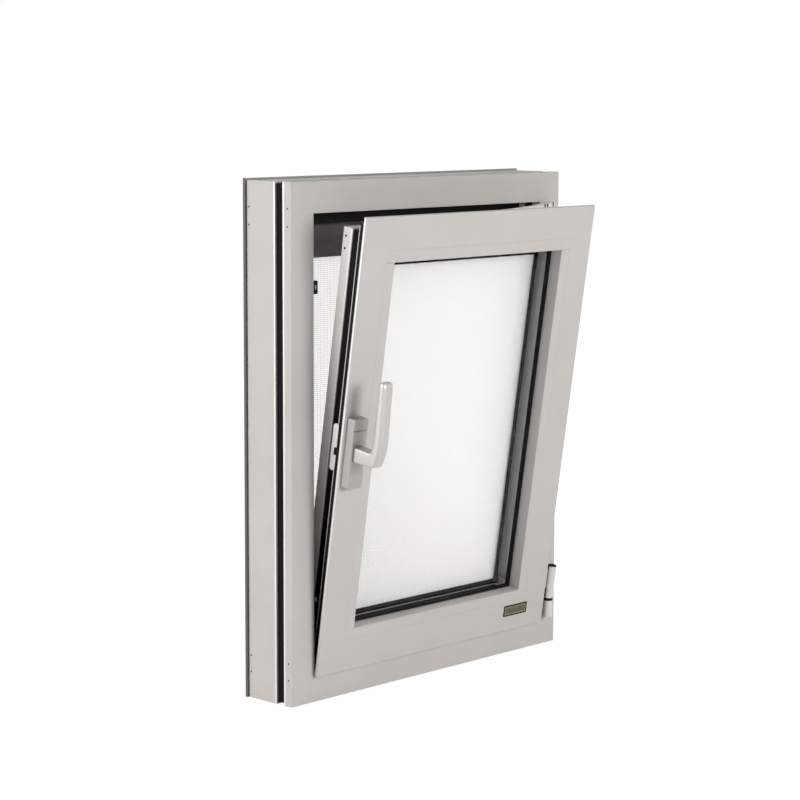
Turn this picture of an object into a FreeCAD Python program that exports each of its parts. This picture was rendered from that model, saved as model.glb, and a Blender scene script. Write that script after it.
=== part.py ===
import FreeCAD, Part
import math
import os

V = FreeCAD.Vector

# Fixed frame. Insets are measured from the frame's outer edge towards the daylight,
# depths from the frame's room face towards the outside.
frame_width = 622.0
frame_height = 800.0
wall = 2.0                   # aluminium wall thickness
edge_radius = 1.2            # rounded profile edges
frame_face = 48.5            # room face of the fixed profile
frame_inner_depth = 17.5     # room-side half of the profile
frame_break_depth = 16.0     # polyamide zone
frame_outer_depth = 62.0     # outer half of the profile
rebate_step = 14.0           # depth of the step before the stop leg
stop_leg = 13.5              # how far the stop leg stands past the room face
break_thickness = 2.2        # polyamide bar
break_recess = 2.0           # bar set back from the profile's sides
break_foot = 1.4             # dovetail foot in its pocket
mitre_gap = 0.3              # hairline between polyamide bars at a mitre

# Rear cover strip on the head and both jambs
flange_proud = 3.0
flange_depth = 5.0
flange_cover = 22.0
flange_wall = 1.6

# Centre seal on the stop leg
seal_thickness = 5.0
seal_overhang = 6.0

# Sash, drawn closed and then tilted. Depths are from the sash's room face.
sash_margin = 44.6           # sash edge to frame edge at both sides
sash_margin_top = 42.6
sash_margin_bottom = 40.0
sash_proud = 15.0            # sash face in front of the frame face when closed
tilt_angle = 8.5
tilt_axis_height = 81.5
tilt_axis_forward = 13.5
lip_width = 17.0
lip_thickness = 5.0
sash_inner_depth = 36.0
groove_edge = 29.0           # room-side edge of the hardware groove
groove_depth = 10.0
sash_break_depth = 15.5
sash_outer_depth = 19.5
sash_body = 52.0             # lip edge to glass rebate
bead_width = 19.0
bottom_bead_width = 17.0
bead_depth = 21.0
bead_joint = 0.15
outer_leg_depth = 7.0        # glazing leg on the outside
overlap_seal_thickness = 2.5
overlap_seal_depth = 25.0

# Insulated glass
glass_thickness = 5.0
glass_seal = 6.0             # room-side seal between bead and glass
glass_seal_lip = 4.3         # seal lip past the bead's edge
glass_seal_outer = 4.0
glass_edge_gap = 5.0
spacer_width = 6.0
spacer_wall = 1.0
setting_block_length = 60.0

# Roll-up insect screen under the head, outside the sash
cassette_height = 60.0
cassette_depth = 28.0
cassette_setback = 18.0      # stop leg's room face to cassette face
guide_width = 18.0
guide_depth = 22.0
guide_wall = 1.5
guide_slot = 3.0
screen_rail_height = 22.0
screen_thickness = 0.6
screen_columns = 8           # the mesh is drawn as a plain grid of bands
screen_rows = 10
screen_band = 8.0
screen_entry = 8.0           # screen edge held inside guide, rail and cassette
slot_clearance = 0.3

# Locking hardware
rail_thickness = 3.0
rail_width = 6.4
rail_end_gap = 60.0
keeper_heights = (160.0, 640.0)
keeper_length = 20.5
keeper_reach = 10.0
keeper_depth = 12.0
keeper_setback = 2.0
faceplate_length = 73.0
faceplate_width = 11.0
faceplate_thickness = 2.0
faceplate_notch = 12.0
faceplate_clearance = 0.3

# Handle on the lock stile
handle_inset = 20.2          # spindle to sash edge
handle_height = 399.0
base_width = 30.0
base_height = 109.0
base_thickness = 16.0
base_radius = 3.0
base_seam = 19.0             # seam below the base's top
seam_width = 1.6
lever_width = 22.0
neck_height = 23.0
grip_standoff = 34.5         # base front to back of grip
grip_thickness = 17.0
grip_length = 133.0
lever_fillet = 3.0
neck_fillet = 7.0
elbow_cut = 10.0             # lever's front set back at the bottom
elbow_rise = 32.0            # height over which it comes forward
elbow_radius = 70.0
grip_taper = 4.0             # front set back at the top
crown_radius = 8.0           # front of the lever's top end
neck_clearance = 0.5
journal_radius = 6.5
journal_length = 9.0
journal_clearance = 0.3

# Corner hinge at the bottom and stay at the top, hinge side
hinge_gap = 12.3             # sash edge to barrel centre
barrel_radius = 7.5
lower_barrel_height = 29.0
upper_barrel_height = 57.0
ring_height = 4.0
ring_radius = 8.2
hinge_clearance = 0.3
hinge_leaf = 4.0
knuckle_setback = 3.0        # knuckle behind the sash face
stay_thickness = 4.0
stay_width = 16.0
stay_length = 215.0
stay_drop = 2.0              # arm's top below the head
bearing_radius = 5.5
bearing_height = 22.0
bearing_drop = 1.5           # bearing's top below the head
pivot_radius = 3.0

# The origin lies on the sill's underside, midway along the outer half of the profile.
frame_break_start = frame_inner_depth
frame_outer_start = frame_break_start + frame_break_depth
frame_depth = frame_outer_start + frame_outer_depth
room_face = -(frame_outer_start + frame_outer_depth / 2)
leg_start = frame_outer_start + rebate_step
leg_inset = frame_face + stop_leg
sash_face = room_face - sash_proud
sash_width = frame_width - 2 * sash_margin
sash_height = frame_height - sash_margin_top - sash_margin_bottom
groove_floor = lip_width + groove_depth
sash_break_start = sash_inner_depth
sash_outer_start = sash_break_start + sash_break_depth
sash_depth = sash_outer_start + sash_outer_depth
daylight = sash_body + bead_width
bottom_daylight = sash_body + bottom_bead_width
outer_leg_start = sash_depth - outer_leg_depth
pane_inner = bead_depth + glass_seal
pane_outer = outer_leg_start - glass_seal_outer - glass_thickness
sides = {"sill": 0, "right": 90, "head": 180, "left": 270}


def outline(points):
    # closed wire of straight runs, with an arc at each corner that names a radius
    count = len(points)
    edges = []
    ends = []
    for i in range(count):
        u, d = points[i][:2]
        radius = points[i][2] if len(points[i]) > 2 else 0.0
        here = V(0, d, u)
        back = V(0, points[i - 1][1], points[i - 1][0]) - here
        ahead = V(0, points[(i + 1) % count][1], points[(i + 1) % count][0]) - here
        if not radius:
            ends.append((here, here, None))
            continue
        back.normalize()
        ahead.normalize()
        half = back.getAngle(ahead) / 2
        reach = radius / math.tan(half)
        middle = back + ahead
        middle.normalize()
        bulge = here + middle * (radius / math.sin(half) - radius)
        ends.append((here + back * reach, here + ahead * reach, bulge))
    for i in range(count):
        start, end, bulge = ends[i]
        if bulge:
            edges.append(Part.Arc(start, bulge, end).toShape())
        following = ends[(i + 1) % count][0]
        edges.append(Part.LineSegment(end, following).toShape())
    return Part.Wire(edges)


def box_ring(u0, d0, u1, d1, radius=0.0):
    return [(u0, d0, radius), (u1, d0, radius), (u1, d1, radius), (u0, d1, radius)]


def bar(rings, length, face, gap=0.0):
    # extruded section with both ends mitred at 45 degrees; the first ring is the outside
    low = min(p[0] for p in rings[0])
    high = max(p[0] for p in rings[0])
    near = min(p[1] for p in rings[0])
    far = max(p[1] for p in rings[0])
    section = Part.makeFace([outline(r) for r in rings], "Part::FaceMakerBullseye")
    section.translate(V(low, 0, 0))
    solid = section.extrude(V(length - 2 * low, 0, 0))
    back = gap / 2 * math.sqrt(2)
    corners = [V(low + back, near, low), V(length - low - back, near, low),
               V(length - high - back, near, high), V(high + back, near, high)]
    mitre = Part.Face(Part.makePolygon(corners + corners[:1])).extrude(V(0, far - near, 0))
    solid = solid.common(mitre)
    solid.translate(V(0, face, 0))
    return solid


def set_side(solid, side, width, height, base):
    # turns a bar drawn for the sill to the named side of a frame
    corner = {"sill": V(-width / 2, 0, base), "right": V(width / 2, 0, base),
              "head": V(width / 2, 0, base + height), "left": V(-width / 2, 0, base + height)}
    placed = solid.copy()
    placed.rotate(V(0, 0, 0), V(0, -1, 0), sides[side])
    placed.translate(corner[side])
    return placed


def run(side, width, height):
    return width if side in ("sill", "head") else height


def frame_bar(rings, side, gap=0.0):
    solid = bar(rings, run(side, frame_width, frame_height), room_face, gap)
    return set_side(solid, side, frame_width, frame_height, 0.0)


def sash_bar(rings, side, gap=0.0):
    solid = bar(rings, run(side, sash_width, sash_height), sash_face, gap)
    return set_side(solid, side, sash_width, sash_height, sash_margin_bottom)


def closed_loop(rings, make):
    pieces = [make(rings, side) for side in sides]
    return pieces[0].fuse(pieces[1:]).removeSplitter()


def tilted(shape):
    leaning = shape.copy()
    axis = V(0, room_face - tilt_axis_forward, tilt_axis_height)
    leaning.rotate(axis, V(1, 0, 0), tilt_angle)
    return leaning


def block(x0, x1, y0, y1, z0, z1):
    return Part.makeBox(x1 - x0, y1 - y0, z1 - z0, V(x0, y0, z0))


def edges_along(shape, direction):
    kept = []
    for edge in shape.Edges:
        if edge.Curve.TypeId == "Part::GeomLine" and abs(edge.Curve.Direction.dot(direction)) > 0.999:
            kept.append(edge)
    return kept


def break_bar(inset, start, depth):
    # polyamide bar with a dovetail foot in each half of the profile
    spread = break_thickness * 0.35
    end = start + depth
    return [(inset, start), (inset - spread, start - break_foot),
            (inset + break_thickness + spread, start - break_foot), (inset + break_thickness, start),
            (inset + break_thickness, end), (inset + break_thickness + spread, end + break_foot),
            (inset - spread, end + break_foot), (inset, end)]


nodes = {}
frame_names = {"sill": "sill", "right": "right", "head": "head", "left": "left"}
sash_names = {"sill": "bottom", "right": "right", "head": "top", "left": "left"}

# Fixed frame: two hollow aluminium halves held apart by polyamide bars.
frame_breaks = [break_bar(break_recess + 1.0, frame_break_start, frame_break_depth),
                break_bar(frame_face - break_recess - 1.0 - break_thickness, frame_break_start,
                          frame_break_depth)]
inner_rings = [box_ring(0, 0, frame_face, frame_inner_depth, edge_radius),
               box_ring(wall, wall, frame_face - wall, frame_inner_depth - wall - break_foot)]
outer_rings = [[(0, frame_outer_start), (frame_face, frame_outer_start), (frame_face, leg_start),
                (leg_inset, leg_start, edge_radius), (leg_inset, frame_depth, edge_radius),
                (0, frame_depth, edge_radius)],
               box_ring(wall, frame_outer_start + wall + break_foot, frame_face - wall, frame_depth - wall),
               box_ring(frame_face, leg_start + wall, leg_inset - wall, frame_depth - wall)]
frame_feet = {side: [frame_bar([ring], side) for ring in frame_breaks] for side in sides}
for side, name in frame_names.items():
    nodes["frame_inner_" + name] = frame_bar(inner_rings, side).cut(frame_feet[side])
    nodes["frame_outer_" + name] = frame_bar(outer_rings, side).cut(frame_feet[side])
nodes["frame_breaks"] = Part.makeCompound([frame_bar([ring], side, mitre_gap)
                                           for side in sides for ring in frame_breaks])

# Rear cover strips: channels open towards the outside, none along the sill.
flange_back = frame_depth + flange_depth
flange_ring = [(-flange_proud, frame_depth), (flange_cover, frame_depth),
               (flange_cover, flange_back), (flange_cover - flange_wall, flange_back),
               (flange_cover - flange_wall, frame_depth + flange_wall),
               (flange_wall - flange_proud, frame_depth + flange_wall),
               (flange_wall - flange_proud, flange_back), (-flange_proud, flange_back)]
below_sill = block(-frame_width, frame_width, -frame_depth, 2 * frame_depth, -frame_height, 0)
for side in ("right", "head", "left"):
    nodes["flange_" + frame_names[side]] = frame_bar([flange_ring], side).cut(below_sill)

# Centre seal: bulb strip on the stop leg's room face, tapering to its tip.
seal_ring = [(frame_face, leg_start), (frame_face, leg_start - seal_thickness * 0.6),
             (leg_inset, leg_start - seal_thickness),
             (leg_inset + seal_overhang, leg_start - seal_thickness * 0.4),
             (leg_inset + seal_overhang, leg_start)]
nodes["centre_seal"] = closed_loop([seal_ring], frame_bar)

# Insect screen: cassette, two guide channels, bottom rail and the stretched screen.
screen_face = room_face + leg_start + cassette_setback
screen_back = screen_face + cassette_depth
screen_mid = screen_face + cassette_depth / 2
guide_front = screen_mid - guide_depth / 2
guide_back = screen_mid + guide_depth / 2
slot_front = screen_mid - guide_slot / 2
slot_back = screen_mid + guide_slot / 2
clear_half = frame_width / 2 - leg_inset
cassette_top = frame_height - leg_inset
cassette_low = cassette_top - cassette_height
cassette = block(-clear_half, clear_half, screen_face, screen_back, cassette_low, cassette_top)
cassette = cassette.makeFillet(edge_radius * 2, [e for e in edges_along(cassette, V(1, 0, 0))
                                                 if e.BoundBox.ZMin < cassette_low + 1])
hollow = block(-clear_half + wall, clear_half - wall, screen_face + wall, screen_back - wall,
               cassette_low + wall, cassette_top - wall)
slot = block(-clear_half + wall, clear_half - wall, slot_front, slot_back,
             cassette_low - wall, cassette_low + 2 * wall)
nodes["screen_cassette"] = cassette.cut(hollow).cut(slot)
guides = []
for sign in (-1, 1):
    outer_x, inner_x = sign * clear_half, sign * (clear_half - guide_width)
    guide = block(min(outer_x, inner_x), max(outer_x, inner_x), guide_front, guide_back,
                  leg_inset, cassette_low)
    inner0, inner1 = outer_x - sign * guide_wall, inner_x + sign * guide_wall
    guide = guide.cut(block(min(inner0, inner1), max(inner0, inner1), guide_front + guide_wall,
                            guide_back - guide_wall, leg_inset - 1, cassette_low + 1))
    guide = guide.cut(block(min(inner_x, inner1) - 1, max(inner_x, inner1) + 1, slot_front, slot_back,
                            leg_inset - 1, cassette_low + 1))
    guides.append(guide)
nodes["screen_guides"] = Part.makeCompound(guides)
rail_half = clear_half - guide_width
rail_top = leg_inset + screen_rail_height
rail = block(-rail_half, rail_half, guide_front, guide_back, leg_inset, rail_top)
rail = rail.makeFillet(edge_radius * 2, [e for e in edges_along(rail, V(1, 0, 0))
                                         if e.BoundBox.ZMax > rail_top - 1])
rail = rail.cut(block(-rail_half - 1, rail_half + 1, slot_front, slot_back,
                      rail_top - screen_entry - slot_clearance, rail_top + 1))
nodes["screen_rail"] = rail
cloth_half = rail_half + screen_entry
screen = block(-cloth_half, cloth_half, screen_mid - screen_thickness / 2, screen_mid + screen_thickness / 2,
               rail_top - screen_entry, cassette_low + screen_entry)
column_step = 2 * rail_half / screen_columns
row_step = (cassette_low - rail_top) / screen_rows
openings = []
for column in range(screen_columns):
    for row in range(screen_rows):
        x0 = -rail_half + column * column_step + screen_band / 2
        z0 = rail_top + row * row_step + screen_band / 2
        openings.append(block(x0, x0 + column_step - screen_band, screen_face, screen_back,
                              z0, z0 + row_step - screen_band))
nodes["insect_screen"] = screen.cut(openings)

# Keepers on the lock-side jamb.
keepers = []
for height in keeper_heights:
    x0 = -frame_width / 2 + frame_face
    y0 = room_face + keeper_setback
    keeper = block(x0, x0 + keeper_reach, y0, y0 + keeper_depth,
                   height - keeper_length / 2, height + keeper_length / 2)
    keeper = keeper.makeFillet(edge_radius * 2, [e for e in edges_along(keeper, V(0, 1, 0))
                                                 if e.BoundBox.XMin > x0 + 1])
    seat = block(x0 + keeper_reach / 2, x0 + 2 * keeper_reach, y0 + keeper_depth / 3, y0 + 2 * keeper_depth,
                 height - keeper_length / 4, height + keeper_length / 4)
    keepers.append(keeper.cut(seat))
nodes["keepers"] = Part.makeCompound(keepers)

# Sash: room-side half with overlap lip and hardware groove, polyamide bars, outer half with glazing leg.
sash_breaks = [break_bar(groove_floor + break_recess, sash_break_start, sash_break_depth),
               break_bar(sash_body - break_recess - break_thickness - 1.0, sash_break_start,
                         sash_break_depth)]
sash_inner_rings = [[(0, 0, edge_radius), (sash_body, 0), (sash_body, sash_inner_depth),
                     (groove_floor, sash_inner_depth), (groove_floor, groove_edge), (lip_width, groove_edge),
                     (lip_width, lip_thickness), (0, lip_thickness)],
                    box_ring(lip_width + wall, wall, sash_body - wall, groove_edge - wall),
                    box_ring(groove_floor + wall, groove_edge, sash_body - wall,
                             sash_inner_depth - wall - break_foot)]
sash_outer_rings = [[(groove_floor, sash_outer_start), (sash_body, sash_outer_start),
                     (sash_body, outer_leg_start), (daylight, outer_leg_start),
                     (daylight, sash_depth, edge_radius), (groove_floor, sash_depth, edge_radius)],
                    box_ring(groove_floor + wall, sash_outer_start + wall + break_foot, sash_body - wall,
                             sash_depth - wall),
                    box_ring(sash_body, outer_leg_start + wall, daylight - wall, sash_depth - wall)]
sash_feet = {side: [sash_bar([ring], side) for ring in sash_breaks] for side in sides}
for side, name in sash_names.items():
    nodes["sash_inner_" + name] = tilted(sash_bar(sash_inner_rings, side).cut(sash_feet[side]))
    nodes["sash_outer_" + name] = tilted(sash_bar(sash_outer_rings, side).cut(sash_feet[side]))
nodes["sash_breaks"] = tilted(Part.makeCompound([sash_bar([ring], side, mitre_gap)
                                                 for side in sides for ring in sash_breaks]))

# Overlap seal in the corner behind the lip.
side_face = lip_width - overlap_seal_thickness
overlap_ring = [(lip_width / 2, lip_thickness), (lip_width, lip_thickness), (lip_width, overlap_seal_depth),
                (side_face, overlap_seal_depth), (side_face, lip_thickness + overlap_seal_thickness),
                (lip_width / 2, lip_thickness + overlap_seal_thickness / 2)]
nodes["overlap_seal"] = tilted(closed_loop([overlap_ring], sash_bar))

# Glazing beads: the top and bottom ones run through, the upright ones butt between them.
def bead_section(edge):
    outer = [(sash_body + bead_joint, 0), (edge, 0, edge_radius), (edge, bead_depth),
             (sash_body + bead_joint, bead_depth)]
    hollow = box_ring(sash_body + bead_joint + wall, wall, edge - wall, bead_depth - wall)
    section = Part.makeFace([outline(outer), outline(hollow)], "Part::FaceMakerBullseye")
    section.translate(V(0, sash_face, 0))
    return section


through = sash_body + bead_joint
bead_ends = {"sill": (through, through), "head": (through, through),
             "right": (bottom_daylight + bead_joint, daylight + bead_joint),
             "left": (daylight + bead_joint, bottom_daylight + bead_joint)}
for side, name in sash_names.items():
    start, end = bead_ends[side]
    piece = bead_section(bottom_daylight if side == "sill" else daylight)
    piece.translate(V(start, 0, 0))
    piece = piece.extrude(V(run(side, sash_width, sash_height) - start - end, 0, 0))
    nodes["bead_" + name] = tilted(set_side(piece, side, sash_width, sash_height, sash_margin_bottom))

# Insulated glass on two setting blocks, between its seals.
glass_inset = sash_body + glass_edge_gap
seal_inset = glass_inset - 1.0
half_x = sash_width / 2 - glass_inset
sash_top = sash_margin_bottom + sash_height
low_z = sash_margin_bottom + glass_inset
high_z = sash_top - glass_inset
for name, depth in (("glass_inner", pane_inner), ("glass_outer", pane_outer)):
    pane = block(-half_x, half_x, sash_face + depth, sash_face + depth + glass_thickness, low_z, high_z)
    nodes[name] = tilted(pane)
seal_edge = daylight + glass_seal_lip
seal_half = sash_width / 2 - seal_inset
seal = block(-seal_half, seal_half, sash_face + bead_depth, sash_face + pane_inner,
             sash_margin_bottom + seal_inset, sash_top - seal_inset)
open_half = sash_width / 2 - seal_edge
seal_opening = block(-open_half, open_half, sash_face, sash_face + sash_depth,
                     sash_margin_bottom + bottom_daylight + glass_seal_lip, sash_top - seal_edge)
nodes["glazing_seal_inner"] = tilted(seal.cut(seal_opening))
outer_seal = box_ring(seal_inset, pane_outer + glass_thickness, daylight, outer_leg_start)
nodes["glazing_seal_outer"] = tilted(closed_loop([outer_seal], sash_bar))
spacer_edge = glass_inset + 1.0
spacer_start = pane_inner + glass_thickness
spacer_face = spacer_edge + spacer_width
spacer_outside = box_ring(spacer_edge, spacer_start, spacer_face, pane_outer)
spacer_inside = box_ring(spacer_edge + spacer_wall, spacer_start + spacer_wall,
                         spacer_face - spacer_wall, pane_outer - spacer_wall)
spacer_solid = closed_loop([spacer_outside], sash_bar)
spacer_hollow = closed_loop([spacer_inside], sash_bar)
nodes["glass_spacer"] = tilted(spacer_solid.cut(spacer_hollow))
blocks = []
for sign in (-1, 1):
    centre = sign * half_x / 2
    blocks.append(block(centre - setting_block_length / 2, centre + setting_block_length / 2,
                        sash_face + pane_inner, sash_face + pane_outer + glass_thickness,
                        sash_margin_bottom + sash_body, low_z))
nodes["setting_blocks"] = tilted(Part.makeCompound(blocks))

# Drive rails on the groove floor and the lock faceplate beside the handle.
rail_mid = (groove_edge + sash_inner_depth) / 2
rails = []
for side in sides:
    length = run(side, sash_width, sash_height)
    corner = V(rail_end_gap, sash_face + rail_mid - rail_width / 2, groove_floor - rail_thickness)
    piece = Part.makeBox(length - 2 * rail_end_gap, rail_width, rail_thickness, corner)
    rails.append(set_side(piece, side, sash_width, sash_height, sash_margin_bottom))
nodes["drive_rails"] = tilted(Part.makeCompound(rails))
plate_x = -sash_width / 2 + lip_width
plate_front = sash_face + overlap_seal_depth + faceplate_clearance
plate_mid = plate_front + faceplate_width / 2
plate = block(plate_x - faceplate_thickness, plate_x, plate_front, plate_front + faceplate_width,
              handle_height - faceplate_length / 2, handle_height + faceplate_length / 2)
plate = plate.makeFillet(faceplate_width * 0.45, edges_along(plate, V(1, 0, 0)))
notch = block(plate_x - 2 * faceplate_thickness, plate_x + 1, plate_mid - faceplate_width, plate_mid,
              handle_height - faceplate_notch, handle_height)
nodes["lock_faceplate"] = tilted(plate.cut(notch))

# Handle: base with a bored seat, and an L-shaped lever standing up in the tilt position.
spindle_x = -sash_width / 2 + handle_inset
base_front = sash_face - base_thickness
base = block(spindle_x - base_width / 2, spindle_x + base_width / 2, base_front, sash_face,
             handle_height - base_height / 2, handle_height + base_height / 2)
base = base.makeFillet(base_radius, edges_along(base, V(0, 1, 0)))
base = base.makeFillet(edge_radius, [e for e in base.Edges if e.BoundBox.YMax < base_front + 0.01])
seam_z = handle_height + base_height / 2 - base_seam
base = base.cut(block(spindle_x - base_width / 2 - 1, spindle_x + base_width / 2 + 1, base_front - 1,
                      base_front + seam_width, seam_z, seam_z + seam_width))
bore = Part.makeCylinder(journal_radius + journal_clearance, journal_length + journal_clearance,
                         V(spindle_x, base_front, handle_height), V(0, 1, 0))
nodes["handle_base"] = tilted(base.cut(bore))
neck_y = base_front - neck_clearance
grip_back = base_front - grip_standoff
grip_front = grip_back - grip_thickness
lever_low = handle_height - neck_height / 2
lever_top = lever_low + grip_length
neck_top = lever_low + neck_height
profile = outline([(lever_low, neck_y), (lever_low, grip_front + elbow_cut, lever_fillet),
                   (lever_low + elbow_rise, grip_front, elbow_radius),
                   (lever_top, grip_front + grip_taper, crown_radius), (lever_top, grip_back, lever_fillet),
                   (neck_top, grip_back, neck_fillet), (neck_top, neck_y)])
lever = Part.Face(profile).extrude(V(lever_width, 0, 0))
lever.translate(V(spindle_x - lever_width / 2, 0, 0))
rim = [e for e in lever.Edges if abs(e.BoundBox.XMax - e.BoundBox.XMin) < 0.01
       and e.BoundBox.YMin < neck_y - 1]
lever = lever.makeFillet(lever_fillet, rim)
journal = Part.makeCylinder(journal_radius, journal_length + neck_clearance + 1,
                            V(spindle_x, neck_y - 1, handle_height), V(0, 1, 0))
nodes["handle_lever"] = tilted(lever.fuse(journal))

# Corner hinge: the lower barrel on the frame, a ring, and the upper barrel leaning with the sash.
hinge_x = sash_width / 2 + hinge_gap
hinge_y = room_face - tilt_axis_forward
ring_base = tilt_axis_height - ring_height
lower_base = ring_base - lower_barrel_height
lower = Part.makeCylinder(barrel_radius, lower_barrel_height, V(hinge_x, hinge_y, lower_base))
leaf = block(hinge_x - hinge_leaf / 2, hinge_x + barrel_radius, hinge_y, room_face,
             lower_base + 2, ring_base - 2)
nodes["hinge_lower"] = lower.fuse(leaf)
nodes["hinge_ring"] = Part.makeCylinder(ring_radius, ring_height, V(hinge_x, hinge_y, ring_base))
upper_base = tilt_axis_height + barrel_radius * math.sin(math.radians(tilt_angle)) + hinge_clearance
upper = Part.makeCylinder(barrel_radius, upper_barrel_height, V(hinge_x, hinge_y, upper_base))
upper = upper.makeChamfer(edge_radius, [e for e in upper.Edges if e.BoundBox.ZMin > upper_base + 1])
sash_edge = sash_width / 2
knuckle = block(sash_edge, hinge_x, sash_face + knuckle_setback, sash_face + lip_thickness,
                upper_base + upper_barrel_height * 0.3, upper_base + upper_barrel_height * 0.9)
nodes["hinge_upper"] = tilted(upper.fuse(knuckle))

# Stay: the bearing on the frame's top corner and the arm that reaches to the sash's top groove.
bearing_base = frame_height - frame_face - bearing_drop - bearing_height
bearing = Part.makeCylinder(bearing_radius, bearing_height, V(hinge_x, hinge_y, bearing_base))
foot = block(hinge_x - bearing_radius, hinge_x + bearing_radius, hinge_y, room_face,
             bearing_base, bearing_base + bearing_height - bearing_drop)
nodes["stay_bearing"] = bearing.fuse(foot)
rail_top_z = sash_top - groove_floor + rail_thickness
groove_point = tilted(Part.Vertex(V(0, sash_face + rail_mid, rail_top_z))).Point
arm_drop = hinge_y - groove_point.y
arm_reach = math.sqrt(stay_length ** 2 - arm_drop ** 2)
arm_end = V(hinge_x - arm_reach, groove_point.y, 0)
arm_start = V(hinge_x - bearing_radius, hinge_y, 0)
along = arm_end - arm_start
across = V(-along.y, along.x, 0)
across.normalize()
bow = across * (stay_width * 0.5)
half = across * (stay_width / 2)
middle = (arm_start + arm_end) * 0.5 + bow
arm_edges = [Part.Arc(arm_start + half, middle + half, arm_end + half).toShape(),
             Part.LineSegment(arm_end + half, arm_end - half).toShape(),
             Part.Arc(arm_end - half, middle - half, arm_start - half).toShape(),
             Part.LineSegment(arm_start - half, arm_start + half).toShape()]
arm = Part.Face(Part.Wire(arm_edges)).extrude(V(0, 0, stay_thickness))
arm_z = frame_height - frame_face - stay_drop - stay_thickness
arm.translate(V(0, 0, arm_z))
pin_base = groove_point.z + pivot_radius * math.sin(math.radians(tilt_angle)) + hinge_clearance
pin = Part.makeCylinder(pivot_radius, arm_z + stay_thickness * 1.5 - pin_base,
                        V(arm_end.x, arm_end.y, pin_base))
arm = arm.fuse(pin)
nodes["stay_arm"] = arm.cut(bearing)

os.makedirs("parts", exist_ok=True)
for name, shape in nodes.items():
    shape.exportStep("parts/" + name + ".step")
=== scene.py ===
from math import cos, pi, radians, sin

import bmesh
import bpy
import numpy as np
from mathutils import Matrix, Vector


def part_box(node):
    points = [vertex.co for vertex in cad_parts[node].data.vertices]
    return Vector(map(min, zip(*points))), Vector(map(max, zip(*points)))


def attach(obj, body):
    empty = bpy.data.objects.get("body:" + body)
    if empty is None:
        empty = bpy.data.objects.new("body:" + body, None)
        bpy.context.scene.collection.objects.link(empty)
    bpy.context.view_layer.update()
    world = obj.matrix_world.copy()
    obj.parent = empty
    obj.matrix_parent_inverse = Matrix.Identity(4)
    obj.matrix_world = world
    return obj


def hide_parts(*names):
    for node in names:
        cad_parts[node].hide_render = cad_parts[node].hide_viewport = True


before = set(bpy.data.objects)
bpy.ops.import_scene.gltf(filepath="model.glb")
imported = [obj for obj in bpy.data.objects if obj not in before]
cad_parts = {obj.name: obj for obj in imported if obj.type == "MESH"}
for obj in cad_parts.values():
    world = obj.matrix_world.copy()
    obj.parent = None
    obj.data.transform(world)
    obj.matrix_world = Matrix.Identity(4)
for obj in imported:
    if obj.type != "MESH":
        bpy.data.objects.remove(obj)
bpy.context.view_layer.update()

mm = 0.001
print("frame loaded with", len(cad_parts), "nodes")

# the sash hangs open on its bottom edge, so its pieces are laid out closed and then leaned
sash = {"lean": 8.5, "axisY": -78.0, "axisZ": 81.5, "faceY": -79.5, "half": 266.4,
        "bottom": 40.0, "top": 757.4}
sashMiddle = (sash["bottom"] + sash["top"]) / 2


def leaned(points):
    # turns closed-sash places (mm) about the tilt line: y and z go round by the lean angle, x stays
    c, s = cos(radians(sash["lean"])), sin(radians(sash["lean"]))
    y, z = points[..., 1] - sash["axisY"], points[..., 2] - sash["axisZ"]
    return np.stack([points[..., 0], sash["axisY"] + y * c - z * s, sash["axisZ"] + y * s + z * c], -1)


def ring(sides):
    # angles of evenly spaced points, once round
    return np.arange(sides) * 2 * pi / sides


def softened(wave, power):
    # a sine or cosine pushed outwards, so that a circle drawn with it becomes a round-cornered rectangle
    return np.sign(wave) * np.abs(wave) ** power


def toLinear(hexColour):
    # sRGB hex to linear colour by the standard curve
    srgb = np.array([int(hexColour[i:i + 2], 16) for i in (1, 3, 5)]) / 255
    linear = np.where(srgb <= 0.04045, srgb / 12.92, ((srgb + 0.055) / 1.055) ** 2.4)
    return (*linear.tolist(), 1.0)


def wire(tree, node, links):
    # brings outputs to the node's sockets
    for key, source in links.items():
        tree.links.new(source, node.inputs[key])


def addNode(tree, kind, settings, links):
    # one node: settings are a ramp's stops, the node's own options or its sockets
    node = tree.nodes.new("ShaderNode" + kind)
    for key, value in settings.items():
        if key == "stops":
            for element, (position, colour) in zip(node.color_ramp.elements, value):
                element.position, element.color = position, toLinear(colour)
        elif isinstance(key, str) and hasattr(node, key):
            setattr(node, key, value)
        else:
            node.inputs[key].default_value = value
    wire(tree, node, links)
    return node


def newFinish(name, sockets):
    # a principled surface with its constants on its own sockets, and the object's coordinates in metres
    material = bpy.data.materials.new(name)
    material.use_nodes = True
    tree = material.node_tree
    shader = tree.nodes["Principled BSDF"]
    for key, value in sockets.items():
        shader.inputs[key].default_value = value
    place = tree.nodes.new("ShaderNodeTexCoord").outputs["Object"]
    return material, tree, shader, place


finishes = {}

# Powder-coated aluminium, warm light grey, sprayed and baked: satin, with a fine pebbled skin.
# The real grit is about 0.3 mm; here and in the other coats it is drawn at 2 mm so that it shows at all.
coat = {"light": "#CBC6C2", "shade": "#C5C0BC", "grit": 2.0 * mm, "cloud": 90 * mm, "depth": 0.05 * mm}
material, tree, shader, place = newFinish("powderCoatedAluminium", {
    "Metallic": 0.0, "IOR": 1.5, "Specular IOR Level": 0.35})
grit = addNode(tree, "TexNoise", {"Scale": 1 / coat["grit"], "Detail": 3.0}, {"Vector": place})
cloud = addNode(tree, "TexNoise", {"Scale": 1 / coat["cloud"], "Detail": 2.0}, {"Vector": place})
blend = addNode(tree, "Math", {"operation": "MULTIPLY_ADD", 1: 0.5},
                {0: grit.outputs["Fac"], 2: cloud.outputs["Fac"]})
tone = addNode(tree, "ValToRGB", {"stops": [(0.45, coat["shade"]), (1.0, coat["light"])]},
               {"Fac": blend.outputs[0]})
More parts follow.
